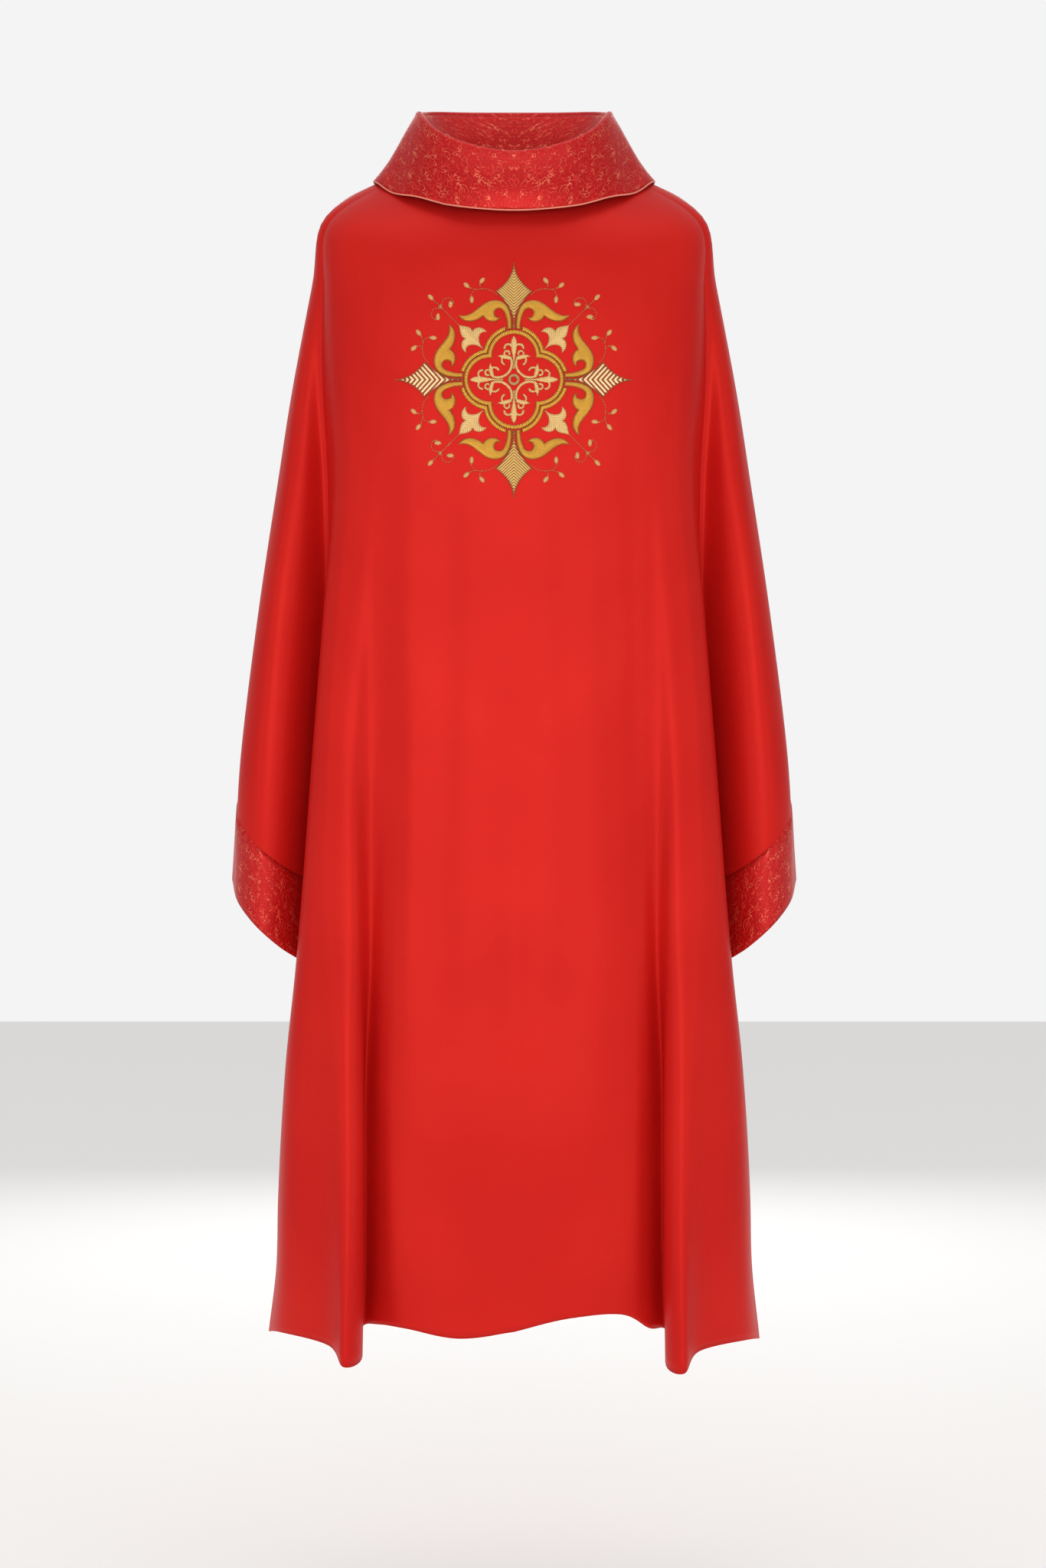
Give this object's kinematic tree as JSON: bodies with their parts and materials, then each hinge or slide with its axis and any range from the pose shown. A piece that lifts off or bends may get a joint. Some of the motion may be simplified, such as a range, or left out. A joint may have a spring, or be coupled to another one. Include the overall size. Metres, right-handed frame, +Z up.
{
  "type": "chasuble",
  "caption": "Red gothic chasuble with a roll collar, slanting brocade cuffs and a gold embroidered motif on the chest, hanging from the shoulders.",
  "frame": {"origin": "high point of the shoulders on the centre line, at the neck's mid-depth, where the garment rests on its wearer or hanger", "axes": "+Z up; the front faces -Y; +X is to the right of someone who looks at the front"},
  "size_m": [0.6236, 0.33, 1.369],
  "materials": {
    "red_satin": "satin weave, soft sheen",
    "red_brocade": "figured brocade, coral glints",
    "red_lining": "plain lining",
    "red_tape": "woven tape",
    "interlining": "stiff canvas",
    "coral_piping": "stitched piping",
    "gold_thread": "padded satin stitch",
    "old_gold_thread": "satin stitch",
    "pale_gold_thread": "satin stitch",
    "rose_gold_thread": "couched thread"
  },
  "bodies": {
    "root": {"back_hem_facing": "red_satin", "back_panel": "red_satin", "collar_fall": "red_brocade", "collar_interlining": "interlining", "collar_piping": "coral_piping", "collar_stand": "red_brocade", "embroidery_centre_cross": "pale_gold_thread", "embroidery_centre_ring": "pale_gold_thread", "embroidery_fleur_lower_left": "pale_gold_thread", "embroidery_fleur_lower_right": "pale_gold_thread", "embroidery_fleur_upper_left": "pale_gold_thread", "embroidery_fleur_upper_right": "pale_gold_thread", "embroidery_lozenge_bottom": "old_gold_thread", "embroidery_lozenge_left": "pale_gold_thread", "embroidery_lozenge_right": "pale_gold_thread", "embroidery_lozenge_top": "old_gold_thread", "embroidery_quatrefoil_band": "gold_thread", "embroidery_quatrefoil_cord": "old_gold_thread", "embroidery_scroll_bottom_a": "gold_thread", "embroidery_scroll_bottom_b": "gold_thread", "embroidery_scroll_left_a": "gold_thread", "embroidery_scroll_left_b": "gold_thread", "embroidery_scroll_right_a": "gold_thread", "embroidery_scroll_right_b": "gold_thread", "embroidery_scroll_top_a": "gold_thread", "embroidery_scroll_top_b": "gold_thread", "embroidery_spray_bottom_a": "rose_gold_thread", "embroidery_spray_bottom_b": "rose_gold_thread", "embroidery_spray_left_a": "rose_gold_thread", "embroidery_spray_left_b": "rose_gold_thread", "embroidery_spray_lower_left": "rose_gold_thread", "embroidery_spray_lower_right": "rose_gold_thread", "embroidery_spray_right_a": "rose_gold_thread", "embroidery_spray_right_b": "rose_gold_thread", "embroidery_spray_top_a": "rose_gold_thread", "embroidery_spray_top_b": "rose_gold_thread", "embroidery_spray_upper_left": "rose_gold_thread", "embroidery_spray_upper_right": "rose_gold_thread", "front_hem_facing": "red_satin", "front_panel": "red_satin", "left_cuff_band": "red_brocade", "left_cuff_facing": "red_lining", "left_shoulder_seam_tape": "red_tape", "left_side_seam_tape": "red_tape", "neck_tape": "red_tape", "right_cuff_band": "red_brocade", "right_cuff_facing": "red_lining", "right_shoulder_seam_tape": "red_tape", "right_side_seam_tape": "red_tape"}
  },
  "joints": []
}
